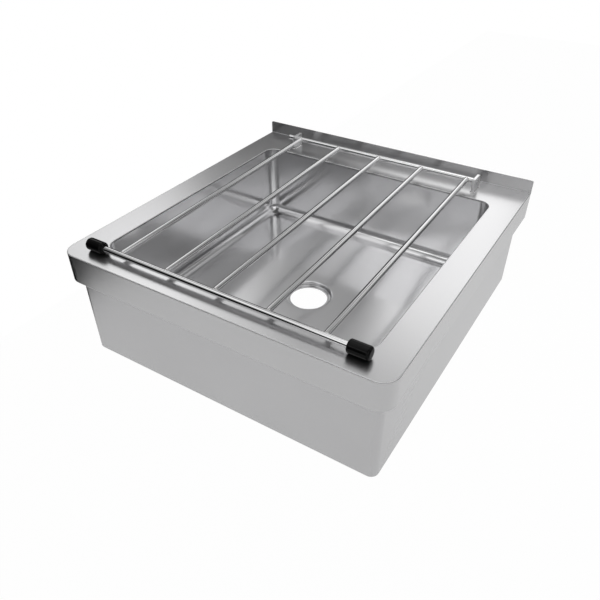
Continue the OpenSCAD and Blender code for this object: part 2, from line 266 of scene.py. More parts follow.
def math_node(nodes, links, operation, *terms):
    """One sum of up to three sockets or numbers."""
    node = nodes.new("ShaderNodeMath")
    node.operation = operation
    for socket, term in zip(node.inputs, terms):
        if isinstance(term, (int, float)):
            socket.default_value = term
        else:
            links.new(term, socket)
    return node.outputs[0]


def two_colours(nodes, links, factor, first, second):
    """A colour that goes from the first to the second as the factor goes from 0 to 1."""
    mix = nodes.new("ShaderNodeMix")
    mix.data_type = "RGBA"
    mix.inputs[6].default_value = (*first, 1)
    mix.inputs[7].default_value = (*second, 1)
    links.new(factor, mix.inputs[0])
    return mix.outputs[2]


def relief(nodes, links, height, strength, distance):
    """Leans the surface as if its height changed by up to the distance."""
    bump = nodes.new("ShaderNodeBump")
    bump.inputs["Strength"].default_value = strength
    bump.inputs["Distance"].default_value = distance
    links.new(height, bump.inputs["Height"])
    return bump.outputs[0]


def blended(nodes, links, share, first, second):
    """Sends a share of the light through the second shader, the rest through the first, and both to
    the surface."""
    blend = nodes.new("ShaderNodeMixShader")
    links.new(first.outputs[0], blend.inputs[1])
    links.new(second.outputs[0], blend.inputs[2])
    links.new(blend.outputs[0], nodes["Material Output"].inputs["Surface"])
    if isinstance(share, float):
        blend.inputs[0].default_value = share
    else:
        links.new(share, blend.inputs[0])


print("node helpers made")

# %% [markdown]
# ## Steel
# Steel shows mostly what it mirrors, so its finish is in its roughness. The top is satin polished:
# fine lines run along it, too small to see one by one, and they blur a mirror image along one
# direction. A fold is duller than a flat, since bending opens the skin. Rubbed steel also has a
# veil: part of the light makes a wider, duller mirror image over the clear one. The veil is a
# second shader, because one roughness can't be both clear and wide.

# %% A steel finish
sideways_from = 0.7
wide_cells = (7.0, 7.0, 7.0)
level_from, upright_below = (0.93, 0.995), (0.05, 0.25)
wide_range, line_range, tint_range = (0.35, 0.7), (0.3, 0.7), (0.35, 0.65)
darker, lighter = 0.985, 1.012
veil_rough, line_height = 0.29, 0.0001


def steel(name, colour, rough, spread, grain, depth, fold_dull=0.0, veil=0.0):
    """Steel of one colour. Its roughness wanders by the spread, and its fine lines follow the grain:
    along X where a surface faces up or to the front, and along Y where it faces sideways. A fold is
    duller by fold_dull: it is where the surface is neither level nor upright. The veil is the share
    of light that goes into the wide mirror image."""
    material, nodes, links, shader, place = new_material(name)
    shader.inputs["Metallic"].default_value = 1.0
    along_x = stretched_noise(nodes, links, place, (grain[0], grain[1], grain[1]))
    along_y = stretched_noise(nodes, links, place, (grain[1], grain[0], grain[1]))
    facing = nodes.new("ShaderNodeSeparateXYZ")
    links.new(place.outputs["Normal"], facing.inputs[0])
    sideways = math_node(nodes, links, "GREATER_THAN",
                         math_node(nodes, links, "ABSOLUTE", facing.outputs["X"]), sideways_from)
    lines = nodes.new("ShaderNodeMix")
    links.new(sideways, lines.inputs["Factor"])
    links.new(along_x, lines.inputs[2])
    links.new(along_y, lines.inputs[3])
    line = lines.outputs[0]

    wide = stretched_noise(nodes, links, place, wide_cells, detail=2.0)
    dull = remap(nodes, links, wide, *wide_range, rough - spread, rough + spread)
    shade = remap(nodes, links, line, *line_range, -spread / 2, spread / 2)
    level_share = math_node(nodes, links, "ABSOLUTE", facing.outputs["Z"])
    bent = math_node(nodes, links, "MULTIPLY",
                     remap(nodes, links, level_share, *upright_below, 0, fold_dull),
                     remap(nodes, links, level_share, *level_from, 1, 0))
    even = math_node(nodes, links, "ADD", dull, shade)
    roughness = math_node(nodes, links, "ADD", even, bent)
    links.new(roughness, shader.inputs["Roughness"])

    tint = two_colours(nodes, links, remap(nodes, links, wide, *tint_range, 0, 1),
                       [c * darker for c in colour], [min(1, c * lighter) for c in colour])
    links.new(tint, shader.inputs["Base Color"])
    leaning = relief(nodes, links, line, depth, line_height)
    links.new(leaning, shader.inputs["Normal"])
    if veil:
        wide_mirror = nodes.new("ShaderNodeBsdfAnisotropic")
        dullest = math_node(nodes, links, "MAXIMUM", roughness, veil_rough)
        links.new(tint, wide_mirror.inputs["Color"])
        links.new(dullest, wide_mirror.inputs["Roughness"])
        links.new(leaning, wide_mirror.inputs["Normal"])
        blended(nodes, links, veil, shader, wide_mirror)
    return material


print("steel: roughness, lines, folds and veil")

# %% The steels of this sink
top_steel = steel("satin_top", (0.65, 0.65, 0.655), rough=0.235, spread=0.015, grain=(9, 1500),
                  depth=0.010, fold_dull=0.3, veil=0.28)
bowl_steel = steel("satin_bowl", (0.70, 0.70, 0.707), rough=0.135, spread=0.01, grain=(11, 1300),
                   depth=0.004, veil=0.28)
casing_steel = steel("satin_casing", (0.63, 0.63, 0.636), rough=0.235, spread=0.015, grain=(8, 1500),
                     depth=0.010, fold_dull=0.3, veil=0.28)
hidden_steel = steel("mill_steel", (0.52, 0.52, 0.525), rough=0.36, spread=0.06, grain=(60, 300),
                     depth=0.10)
bracket_steel = steel("satin_plate", (0.80, 0.80, 0.805), rough=0.32, spread=0.02, grain=(20, 900),
                      depth=0.01)
rod_steel = steel("polished_rod", (0.74, 0.74, 0.745), rough=0.045, spread=0.01, grain=(25, 900),
                  depth=0.01)
weld_steel = steel("dressed_weld", (0.66, 0.655, 0.65), rough=0.18, spread=0.06, grain=(300, 500),
                   depth=0.12)
steels = (top_steel, bowl_steel, casing_steel, hidden_steel, bracket_steel, rod_steel, weld_steel)
print("steels:", *[material.name for material in steels])

# %% [markdown]
# ## Rubber
# The buffers are black moulded rubber from a smooth mould, so they are glossy but weak mirrors: the
# low specular level keeps them black. A fine grain breaks up the highlight a little. The pads under
# the bowl have a coarser, matt skin.

# %% A rubber finish
mirror_level, grain_height = 0.12, 0.0002
patch_cells, patch_range = (90, 90, 90), (0.3, 0.7)
smoother, rougher, blacker, greyer = 0.05, 0.06, 0.8, 1.3


def rubber(name, colour, rough, scale, depth):
    """Black rubber: a fine even grain in tint and relief, and a wide change of roughness."""
    material, nodes, links, shader, place = new_material(name)
    shader.inputs["Specular IOR Level"].default_value = mirror_level
    grain = stretched_noise(nodes, links, place, (scale, scale, scale), detail=4.0)
    wide = stretched_noise(nodes, links, place, patch_cells, detail=2.0)
    roughness = remap(nodes, links, wide, *patch_range, rough - smoother, rough + rougher)
    links.new(roughness, shader.inputs["Roughness"])
    tint = two_colours(nodes, links, grain, [c * blacker for c in colour], [c * greyer for c in colour])
    links.new(tint, shader.inputs["Base Color"])
    links.new(relief(nodes, links, grain, depth, grain_height), shader.inputs["Normal"])
    return material


buffer_rubber = rubber("buffer_rubber", (0.0025, 0.0025, 0.0026), rough=0.10, scale=1400, depth=0.01)
pad_rubber = rubber("pad_rubber", (0.03, 0.03, 0.031), rough=0.75, scale=700, depth=0.5)
print("rubbers: buffers and pads")

# %% [markdown]
# ## Paths round the sink
# Everything folded follows a rectangle with rounded corners. One function gives the points of such a
# loop with the direction that points straight out of it. A profile that is drawn once then goes all
# the way round: each loop point plus its outward direction times the profile's distance.

# %% A rounded loop
corner_points, run_points = 13, 12


def rounded_loop(half, y0, y1, r_front, r_back, corner_points=corner_points, run_points=run_points):
    """Anticlockwise loop seen from above, from the back right corner. On a corner a point is the
    corner's centre plus the radius times its direction; on a side the points divide it evenly."""
    points, outward = [], []
    for k, (sx, y, sy, r) in enumerate([(1, y1, -1, r_back), (-1, y1, -1, r_back),
                                        (-1, y0, 1, r_front), (1, y0, 1, r_front)]):
        angle = np.radians(90 * k + np.linspace(0, 90, corner_points))
        way = np.stack([np.cos(angle), np.sin(angle)], -1)
        points.append(np.array([sx * (half - r), y + sy * r]) + r * way)
        outward.append(way)
    loop, ways = [], []
    share = np.linspace(0, 1, run_points + 2)[1:-1, None]
    for k in range(4):
        here, there = points[k][-1], points[(k + 1) % 4][0]
        loop += [points[k], here + share * (there - here)]
        ways += [outward[k], np.repeat(outward[k][-1:], run_points, 0)]
    return np.concatenate(loop), np.concatenate(ways)


print("a loop has", 4 * (corner_points + run_points), "points")

# %% A profile and its way round a loop
def carry(loop, ways, profile):
    """A profile of (distance outward, height) rows carried round a loop: rows follow the profile."""
    profile = np.asarray(profile, float)
    flat = loop[None] + profile[:, :1, None] * ways[None]
    height = np.broadcast_to(profile[:, 1, None, None], (*flat.shape[:2], 1))
    return np.concatenate([flat, height], -1)


def arc(cx, cz, r, a0, a1, steps=8):
    """Points of an arc in a profile: centre plus the radius times cosine and sine of each angle."""
    a = np.radians(np.linspace(a0, a1, steps + 1))
    return np.stack([cx + r * np.cos(a), cz + r * np.sin(a)], -1)


def ends_squared(ways):
    """Points the first and last direction of an open path straight left and right."""
    ways[0], ways[-1] = (-1, 0), (1, 0)
    return ways


print("an arc has", len(arc(0, 0, 1, 0, 90)), "points")

# %% [markdown]
# ## The folded top
# On the real sink this is one sheet: the bowl's edge is rolled down, the front and sides are folded
# into an apron, and the back is folded up against the wall. It could be a box with bevels, but then
# the fold's shine would depend on the bevel. Here the profile has its true fold radii, with a
# narrow strip of flat next to each fold so that the shading stays flat right up to it.

# %% The flat of the top with its rolled inner edge
strip, lip_run, flat_rings = 0.0005, 0.001, 5
inner, inner_way = rounded_loop(bowl_half, bowl_front, bowl_back, bowl_r, bowl_r)
outer, outer_way = rounded_loop(half_w - fold_r, front_y + fold_r, flat_back, corner_r - fold_r, 0.0)
before_edge = rounded_loop(half_w - fold_r - strip, front_y + fold_r + strip, flat_back - strip,
                           corner_r - fold_r - strip, 0.0)[0]
lip = np.concatenate([[[0, top_z - lip_r - lip_run]], arc(lip_r, top_z - lip_r, lip_r, 180, 90),
                      [[lip_r + strip, top_z]]])
rolled = carry(inner, inner_way, lip)
near = rolled[-1]
far = np.concatenate([before_edge, np.full((len(before_edge), 1), top_z)], -1)
share = np.linspace(0, 1, flat_rings + 1)[1:, None, None]
flat = near[None] + share * (far - near)[None]
last = np.concatenate([outer, np.full((len(outer), 1), top_z)], -1)[None]
top_ring = np.concatenate([rolled, flat, last])
print("top ring", top_ring.shape)

# %% The apron, folded down round the front and the sides
back_left = 2 * corner_points + run_points - 1
side = np.r_[back_left:len(outer), 0]
path, way = outer[side], ends_squared(outer_way[side])
path = np.concatenate([[[path[0, 0], wall_y]], path, [[path[-1, 0], wall_y]]])
way = np.concatenate([way[:1], way, way[-1:]])
inset = casing_high.x - half_w + fold_r
apron_profile = np.concatenate([
    [[0, top_z]], arc(0, top_z - fold_r, fold_r, 90, 0)[1:], [[fold_r, top_z - fold_r - strip]],
    [[fold_r, apron_foot + fold_r + strip]], arc(0, apron_foot + fold_r, fold_r, 0, -90),
    [[-strip, apron_foot], [inset, apron_foot]]])
apron = carry(path, way, apron_profile)
print("apron", apron.shape)

# %% The upstand, folded up along the wall
back_run = outer[corner_points - 1:corner_points + run_points + 1, 0]
crest_angles, rise_shares = [0, 20, 40, 60, 80], [0.03, *np.linspace(0.08, 1, 8)]
ends = half_w - upstand_corner * (1 - np.cos(np.radians(crest_angles)))
xs = np.unique(np.round(np.concatenate([back_run, ends, -ends]), 6))
from_end = np.clip(half_w - np.abs(xs), 0, upstand_corner)
rounding = np.sqrt(np.maximum(0, upstand_corner**2 - (upstand_corner - from_end)**2))
crest = upstand_top - upstand_corner + rounding
bend = arc(flat_back, top_z + upstand_r, upstand_r, -90, 0)
rows = [np.stack([xs, np.full_like(xs, y), np.full_like(xs, z)], -1) for y, z in bend]
rows += [np.stack([xs, np.full_like(xs, wall_y - sheet), bend[-1, 1] + t * (crest - bend[-1, 1])], -1)
         for t in rise_shares]
upstand = np.stack(rows)
print("upstand", upstand.shape)

# %% [markdown]
# The upstand has more columns than the flat has points along its back edge, because its ends are
# round. Where a column meets the middle of a straight edge, the edge gets a point there too, so that
# both share all their points and the merged skin is closed.

# %% One skin for the whole top
skin = mesh_from_grids("deck_skin", [(top_ring, False, True), (apron, False, False)], flip=True)
upstand_skin = mesh_from_grids("upstand_skin", [(upstand, False, False)])
only_upstand = np.abs(xs[:, None] - back_run).min(1) > merge_gap


def cut_back_edge(work, x):
    """Splits the flat's back edge at x: the edge that lies on the back line and spans x gets a point
    at the share (x - its left end) / (its length)."""
    for line in list(work.edges):
        start, end = sorted(line.verts, key=lambda vert: vert.co.x)
        off_line = max(abs(v) for vert in line.verts for v in (vert.co.y - flat_back, vert.co.z - top_z))
        if off_line < merge_gap and start.co.x + merge_gap < x < end.co.x - merge_gap:
            bmesh.utils.edge_split(line, start, (x - start.co.x) / (end.co.x - start.co.x))
            return


def join_upstand(work):
    """Cuts the back edge to suit, adds the upstand and merges the points that the two share."""
    for x in xs[(np.abs(xs) < half_w - fold_r) & only_upstand]:
        cut_back_edge(work, x)
    work.from_mesh(upstand_skin)
    bmesh.ops.remove_doubles(work, verts=work.verts, dist=merge_gap)


edited(skin, join_upstand)
add_piece("deck_sheet", skin, "sink", top_steel, ["deck"], thickness=sheet)

# %% [markdown]
# ## The pressed bowl
# A press stretches flat sheet into the bowl, so its walls run into the floor in a wide cove, and the
# floor falls gently to the waste. The grid starts under the rolled edge, runs down the wall, round the
# cove and over the floor. There the rectangle has to become the circle of the waste: each point
# moves from its place on the rectangle to its place on the circle by an even share.

# %% Sizes of the waste and its recess
recess_r, waste_r, recess_depth = 0.040, 0.033, 0.0072
rim_fold, seat_fold = 0.00276, 0.00216
floor_fall, level_rim, ease = 0.004, 0.006, 0.15
rim_r = recess_r + rim_fold
fall_r = (bowl_back - bowl_front) / 2 - cove_r - level_rim
rim_z = floor_z - floor_fall
seat_z = rim_z - recess_depth
print("waste", round(2 * waste_r, 3), "in a recess of", round(2 * recess_r, 3))

# %% Wall, cove and falling floor
wall_start, wall_rings, straight_end = 0.03, 6, 0.001
wall_profile = np.concatenate([
    [[0, top_z - lip_r], [0, top_z - lip_r - lip_run]],
    np.stack([np.zeros(wall_rings),
              np.linspace(top_z - wall_start, floor_z + cove_r + straight_end, wall_rings)], -1),
    arc(-cove_r, floor_z + cove_r, cove_r, 0, -90, steps=14), [[-cove_r - strip, floor_z]]])
bowl_wall = carry(inner, inner_way, wall_profile)
foot = bowl_wall[-1]
angle = np.arctan2(foot[:, 1] - drain_y, foot[:, 0])
spin = np.stack([np.cos(angle), np.sin(angle)], -1)
drain = np.array([0.0, drain_y])
share = np.concatenate([[0.02, 0.035], np.linspace(0.05, 1, 30)])[:, None, None]
plan = foot[None, :, :2] + share * (drain + rim_r * spin - foot[:, :2])[None]
from_drain = np.hypot(plan[..., 0], plan[..., 1] - drain_y)
inwards = np.clip((fall_r - from_drain) / (fall_r - rim_r), 0, 1)
eased = np.where(inwards < ease, inwards**2 / (2 * ease), inwards - ease / 2) / (1 - ease / 2)
floor = np.concatenate([plan, (floor_z - floor_fall * eased)[..., None]], -1)
print("floor falls", round(1000 * floor_fall * eased.max(), 2), "mm over", floor.shape)

# %% The recess for the waste fitting
cut_edge = 0.0001
recess_profile = np.concatenate([
    arc(rim_r, rim_z - rim_fold, rim_fold, 90, 180)[1:],
    arc(recess_r - seat_fold, seat_z + seat_fold, seat_fold, 0, -90),
    [[recess_r - seat_fold - strip, seat_z], [waste_r + strip, seat_z], [waste_r, seat_z - cut_edge]]])
recess = carry(np.repeat(drain[None], len(angle), 0), spin, recess_profile)
bowl_mesh = mesh_from_grids("bowl_skin", [(np.concatenate([bowl_wall, floor, recess]), False, True)])
add_piece("bowl_shell", bowl_mesh, "sink", bowl_steel, ["bowl"], thickness=sheet)

# %% [markdown]
# ## The casing
# A second sheet wraps the front and sides below the apron. Its foot is folded in and up again, so
# that no cut edge meets a hand. The safe edge runs along the straights only, since the real sheet is
# notched at its corners. Wall and safe edge are separate grids, merged where they meet.

# %% Casing wall and safe edge
case_corner_r, hem_in, hem_top = 0.0127, -0.012, 0.008
case_loop, case_way = rounded_loop(casing_high.x, casing_low.y, casing_high.y, case_corner_r, 0.0)
case_loop, case_way = case_loop[side], ends_squared(case_way[side])
case_top = casing_high.z
case_profile = np.concatenate([
    [[0, case_top], [0, case_top - strip], [0, fold_r + strip]], arc(-fold_r, fold_r, fold_r, 0, -90)])
hem_profile = np.concatenate([
    [[-fold_r, 0], [-fold_r - strip, 0]], arc(hem_in + fold_r, fold_r, fold_r, -90, -180),
    [[hem_in, hem_top]]])
# The point numbers of the three straights. The front one takes one step of the right corner too.
lap = run_points + 1
straights = [slice(0, lap + 1), slice(2 * lap - 1, 3 * lap + 1), slice(4 * lap - 2, 5 * lap)]
grids = [(carry(case_loop, case_way, case_profile), False, False)]
grids += [(carry(case_loop[part], case_way[part], hem_profile), False, False) for part in straights]
casing_mesh = mesh_from_grids("casing_skin", grids, flip=True)
add_piece("casing_sheet", casing_mesh, "sink", casing_steel, ["casing"], thickness=sheet)

# %% [markdown]
# ## The grate's rods and bars
# Rods and bars are bright drawn steel. Each is a profile turned about its own axis. The turned
# surface follows a frame of three directions, so the same function makes a level rod and a sloping
# bar.

# %% A profile turned about any axis
nearly_upright = 0.9


def turned(origin, axis, profile, cols=40):
    """Surface of revolution: a point is the origin, plus the station along the axis, plus the radius
    times cosine and sine of the angle along two directions square to the axis. The rows of the
    profile are (station, radius)."""
    axis = np.asarray(axis, float) / np.linalg.norm(axis)
    side_way = np.cross(axis, [0, 0, 1]) if abs(axis[2]) < nearly_upright else np.array([1.0, 0, 0])
    side_way /= np.linalg.norm(side_way)
    up_way = np.cross(axis, side_way)
    angle = np.linspace(0, 2 * np.pi, cols, endpoint=False)
    round_way = np.cos(angle)[:, None] * side_way + np.sin(angle)[:, None] * up_way
    profile = np.asarray(profile, float)
    return np.asarray(origin) + profile[:, :1, None] * axis + profile[:, 1:, None] * round_way[None]


def turned_skin(name, origin, axis, profile, cols=40):
    """A closed mesh of a profile that starts and ends on its axis."""
    return faced_out(mesh_from_grids(name, [(turned(origin, axis, profile, cols), False, True)]))


print("a turned ring has", turned((0, 0, 0), (1, 0, 0), [[0, 1]]).shape[1], "points")

# %% The two rods
end_strip, rod_edge = 0.0002, 0.0008


def rod_profile(length, r, edge):
    """Stations and radii of a rod with rounded ends: flat end, arc, side, arc, flat end."""
    rounded = arc(edge, r - edge, edge, 180, 90, steps=5)
    head = [[0, 0], [0, r - edge - end_strip], *rounded, [edge + strip, r]]
    tail = [[length - station, radius] for station, radius in reversed(head)]
    return np.array(head + tail)


hinge_low, hinge_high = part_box("hinge_rod")
front_low, front_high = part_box("front_rod")
rod_r = (hinge_high.z - hinge_low.z) / 2
hinge_mid = np.array([0, (hinge_low.y + hinge_high.y) / 2, (hinge_low.z + hinge_high.z) / 2])
front_mid = np.array([0, (front_low.y + front_high.y) / 2, (front_low.z + front_high.z) / 2])
for name, low, high, mid in (("hinge_rod", hinge_low, hinge_high, hinge_mid),
                             ("front_rod", front_low, front_high, front_mid)):
    mesh = turned_skin(name + "_skin", (low.x, mid[1], mid[2]), (1, 0, 0),
                       rod_profile(high.x - low.x, rod_r, rod_edge))
    add_piece(name + "_bright", mesh, "grate", rod_steel, [name])

# %% The five bars
bar_r, into_rod = 0.0046, 0.001
slope = hinge_mid - front_mid
bar_length = np.linalg.norm(slope)
bar_x = [sum(corner.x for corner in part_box(f"bar_{k}")) / 2 for k in range(1, 6)]
start, stop = rod_r - into_rod, bar_length - rod_r + into_rod
bar_profile = [[start, 0], [start, bar_r], [start + strip, bar_r], [stop - strip, bar_r], [stop, bar_r],
               [stop, 0]]
for k, x in enumerate(bar_x, 1):
    mesh = turned_skin(f"bar_{k}_skin", front_mid + [x, 0, 0], slope, bar_profile)
    add_piece(f"bar_{k}_bright", mesh, "grate", rod_steel, [f"bar_{k}"])

# %% [markdown]
# ## Welds
# Each bar is welded to both rods and the weld is dressed to a small hollow fillet. The fillet joins a
# ring on the bar to a ring on the rod along a curve that hugs the corner between them. Its width
# changes a little round the bar, since a hand lays it. A last ring inside the metal closes it.

# %% One fillet
weld_reach, slow_wave, quick_wave = 0.0016, 0.16, 0.10
lift, settle, root_in, root_back = 0.00002, 0.00003, 0.0006, 0.0004
widest_share = 0.965
front_wave, hinge_wave, hinge_start = 1.3, 2.1, 0.7


def weld_fillet(centre, along, seed, cols=36, rows=7):
    """Ring a lies on the bar past the rod's surface, ring b on the rod, and k where the two surfaces
    cross. Each strand is the curve (1-t)^2 a + 2t(1-t) k + t^2 b. The root lies inside both."""
    along = along / np.linalg.norm(along)
    cross_way = np.cross(along, [1, 0, 0])
    phi = np.linspace(0, 2 * np.pi, cols, endpoint=False)
    wobble = slow_wave * np.sin(2 * phi + seed) + quick_wave * np.sin(5 * phi + 2 * seed)
    width = weld_reach * (1 + wobble)

    def ring(r_x, r_y, station):
        flat_way = (r_x * np.cos(phi))[:, None] * [1, 0, 0] + (r_y * np.sin(phi))[:, None] * cross_way
        return centre + flat_way + station[:, None] * along

    def rod_surface(r):
        """Distance from the rod's axis to its surface, over a ring of radius r round the bar."""
        return np.sqrt(rod_r**2 - (r * np.sin(phi))**2)

    widest = rod_r * widest_share
    a = ring(bar_r + lift, bar_r + lift, rod_surface(bar_r) + width)
    k = ring(bar_r, bar_r, rod_surface(bar_r))
    b = ring(bar_r + width, widest, rod_surface(widest) - settle)
    root = ring(bar_r - root_in, bar_r - root_in, rod_surface(bar_r) - root_back)
    t = np.linspace(0, 1, rows)[:, None, None]
    return np.concatenate([(1 - t)**2 * a + 2 * t * (1 - t) * k + t**2 * b, root[None]])


print("one fillet", weld_fillet(front_mid, slope, 0).shape)

# %% Fillets at both ends of every bar
fillets = []
for k, x in enumerate(bar_x):
    fillets.append((weld_fillet(front_mid + [x, 0, 0], slope, front_wave * k), True, True))
    fillets.append((weld_fillet(hinge_mid + [x, 0, 0], -slope, hinge_wave * k + hinge_start), True, True))
add_piece("grate_welds", faced_out(mesh_from_grids("weld_skin", fillets)), "grate", weld_steel)

# %% [markdown]
# ## Hinge brackets
# Two plates stand on the top and the hinge rod turns in their bores. A plate with a bore is a ring:
# from the bore's edge out to the plate's edge, over it, back to the bore on the other side and
# through it. So one grid, closed both ways, makes the whole plate with its small rounded edges.

# %% A plate as a ring round its bore
plate_corner_r, plate_edge, halfway = 0.0012, 0.0006, 0.3
bore_strip, edge_strip, bore_gap = 0.0004, 0.0003, 0.00008


def plate_outline(depth, heights, r, count=96, longest=0.05, halvings=40):
    """The plate's edge seen from the side, as distances from the bore's centre in equal turns. The
    distance in a direction is where a ray meets the rounded rectangle, found by halving the gap
    between a point inside and a point outside."""
    turns = np.linspace(0, 2 * np.pi, count, endpoint=False)
    rays = np.stack([np.cos(turns), np.sin(turns)], -1)
    inner_end, outer_end = np.zeros(count), np.full(count, longest)
    for _ in range(halvings):
        mid = (inner_end + outer_end) / 2
        p = mid[:, None] * rays
        past_side, past_top = np.abs(p[:, 0]) - depth / 2 + r, p[:, 1] - heights[1] + r
        corner = (past_side > 0) & (past_top > 0)
        inside = (np.abs(p[:, 0]) < depth / 2) & (p[:, 1] < heights[1]) & (p[:, 1] > heights[0])
        inside &= ~corner | (np.hypot(past_side, past_top) < r)
        inner_end, outer_end = np.where(inside, mid, inner_end), np.where(inside, outer_end, mid)
    return rays, inner_end


def bracket_mesh(name, low, high, bore):
    """The closed ring surface of one plate. A station is (depth from a face, distance from the
    bore's centre): over one face from the bore to the edge, and back over the other."""
    heights = (low.z - hinge_mid[2], high.z - hinge_mid[2])
    rays, edge = plate_outline(high.y - low.y, heights, plate_corner_r)
    soft = plate_edge
    half = [(0, bore), (0, bore + bore_strip), (0, edge - soft - edge_strip), (0, edge - soft),
            (halfway * soft, edge - halfway * soft), (soft, edge), (soft + edge_strip, edge)]
    stations = [(low.x + d, reach) for d, reach in half]
    stations += [(high.x - d, reach) for d, reach in reversed(half)]
    rows = []
    for x, reach in stations:
        p = hinge_mid[1:] + np.broadcast_to(reach, edge.shape)[:, None] * rays
        rows.append(np.concatenate([np.full((len(p), 1), x), p], -1))
    return faced_out(mesh_from_grids(name, [(np.stack(rows), True, True)]))


print("plate outline", plate_outline(0.02, (-0.01, 0.01), plate_corner_r)[1].shape)

# %% The two plates and their welds
foot_corner_r, foot_weld, weld_in, weld_down = 0.0003, 0.0014, -0.0002, 0.0004
for side_name in ("left", "right"):
    node = f"hinge_bracket_{side_name}"
    low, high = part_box(node)
    add_piece(f"bracket_{side_name}", bracket_mesh(node + "_skin", low, high, rod_r + bore_gap), "sink",
              bracket_steel, [node], sharp=50)
    foot_loop, foot_way = rounded_loop((high.x - low.x) / 2, low.y, high.y, foot_corner_r, foot_corner_r,
                                       corner_points=5, run_points=4)
    foot_loop = foot_loop + [(low.x + high.x) / 2, 0]
    hollow = arc(foot_weld, top_z + foot_weld, foot_weld, 180, 270, steps=6)
    fillet = carry(foot_loop, foot_way, np.concatenate([hollow, [[weld_in, top_z - weld_down]]]))
    weld_mesh = faced_out(mesh_from_grids(node + "_weld", [(fillet, True, True)]))
    add_piece(f"bracket_weld_{side_name}", weld_mesh, "sink", weld_steel)

# %% [markdown]
# ## Rubber buffers
# A moulded cap is pushed over each end of the front rod. It is turned like the rods, with a bore, a
# rounded outer end and a softer edge at its mouth.

# %% The two caps
end_edge, mouth_edge = 0.0040, 0.0030
beside_end, face_ring, side_ring, mouth_ring, mouth_chamfer = 0.0001, 0.0006, 0.0003, 0.0002, 0.0004
cap_gap, cap_floor = 0.00003, 0.004


def buffer_profile(length, r, bore, end):
    """Out from the middle of the end face, over its edge, along the side, round the mouth and back
    into the bore as far as the rod's end. Single rings beside the arcs keep flats flat."""
    face = [[0, 0], [0, r - end_edge - face_ring], [0, r - end_edge - beside_end]]
    shell = [[end_edge + side_ring, r], [length - mouth_edge - side_ring, r]]
    mouth = [[length, r - mouth_edge - mouth_ring], [length, bore + mouth_chamfer],
             [length - mouth_chamfer, bore], [end, bore], [end, 0]]
    return np.concatenate([face, arc(end_edge, r - end_edge, end_edge, 180, 90, steps=12), shell,
                           arc(length - mouth_edge, r - mouth_edge, mouth_edge, 90, 0, steps=10), mouth])


for side_name, sign in (("left", 1), ("right", -1)):
    low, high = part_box(f"buffer_{side_name}")
    outer_x = low.x if sign == 1 else high.x
    profile = buffer_profile(high.x - low.x, (high.z - low.z) / 2, rod_r + cap_gap, cap_floor)
    mesh = turned_skin(f"buffer_{side_name}_skin", (outer_x, front_mid[1], front_mid[2]), (sign, 0, 0),
                       profile, cols=56)
    add_piece(f"buffer_cap_{side_name}", mesh, "grate", buffer_rubber,
              [f"buffer_{side_name}"])

# %% [markdown]
# ## Solids that already look right
# Channels, backing plates, back panel, pads and tag are flat work that hardly shows. Their solids
# stay, and only get their finish.

# %% Finishes for the solids that stay
kept = dict.fromkeys(["back_panel", "front_stiffener", "rear_stiffener", "wall_plate_left",
                      "wall_plate_right", "earthing_tag"], hidden_steel)
kept["damping_pads"] = pad_rubber
for node, material in kept.items():
    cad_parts[node].data.materials.clear()
    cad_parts[node].data.materials.append(material)
print("kept solids:", len(kept))

# %% [markdown]
# ## The floor
# The sink floats in the photograph, with white all round it and no shadow, but its steel mirrors
# a floor. So the floor here lies well below the sink and looks different to each kind of ray. The
# camera, and rays through clear things, get white. Mirror rays get a pale grey mixed into a matt
# board that a lamp lights, and all other rays get the board alone. It ends on the left, where the
# steel mirrors darkness.

# %% The floor
floor_left, floor_reach, floor_level = -1.20, 5.0, -0.6
white_share, mirror_share = 0.98, 0.37
board_grey, board_rough, board_gloss = (0.8, 0.8, 0.8, 1), 0.9, 0.1
floor_mesh = bpy.data.meshes.new("studio_floor")
floor_corners = [(floor_left, -floor_reach, floor_level), (floor_reach, -floor_reach, floor_level),
                 (floor_reach, floor_reach, floor_level), (floor_left, floor_reach, floor_level)]
floor_mesh.from_pydata(floor_corners, [], [(0, 1, 2, 3)])
studio_floor = bpy.data.objects.new("studio_floor", floor_mesh)
bpy.context.scene.collection.objects.link(studio_floor)
studio_floor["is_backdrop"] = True
pale, nodes, links, shader, place = new_material("studio_floor")
shader.inputs["Base Color"].default_value = board_grey
shader.inputs["Roughness"].default_value = board_rough
shader.inputs["Specular IOR Level"].default_value = board_gloss


def seen_directly(nodes, links, ray):
    """One for rays from the camera, straight or through clear things, and zero for all others."""
    return math_node(nodes, links, "MAXIMUM", ray.outputs["Is Camera Ray"],
                     ray.outputs["Is Transmission Ray"])


ray = nodes.new("ShaderNodeLightPath")
white = nodes.new("ShaderNodeEmission")
white.inputs["Color"].default_value = (1, 1, 1, 1)
in_white = math_node(nodes, links, "MULTIPLY", seen_directly(nodes, links, ray), white_share)
in_mirror = math_node(nodes, links, "MULTIPLY", ray.outputs["Is Glossy Ray"], mirror_share)
blended(nodes, links, math_node(nodes, links, "ADD", in_white, in_mirror), shader, white)
floor_mesh.materials.append(pale)
print("floor at", floor_level)

# %% The lamp over the floor
lamp_watts, lamp_cone, lamp_size, lamp_place = 24.0, 75, 0.3, (0.6, 1.0, 1.2)
lamp = bpy.data.lights.new("floor_lamp", "SPOT")
lamp.energy, lamp.spot_size, lamp.spot_blend = lamp_watts, math.radians(lamp_cone), 1.0
lamp.shadow_soft_size = lamp_size
lamp_holder = bpy.data.objects.new("floor_lamp", lamp)
lamp_holder.location = lamp_place
lamp_holder.visible_glossy = False
bpy.context.scene.collection.objects.link(lamp_holder)
lamp_holder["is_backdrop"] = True
print("lamp of", lamp_watts, "W")

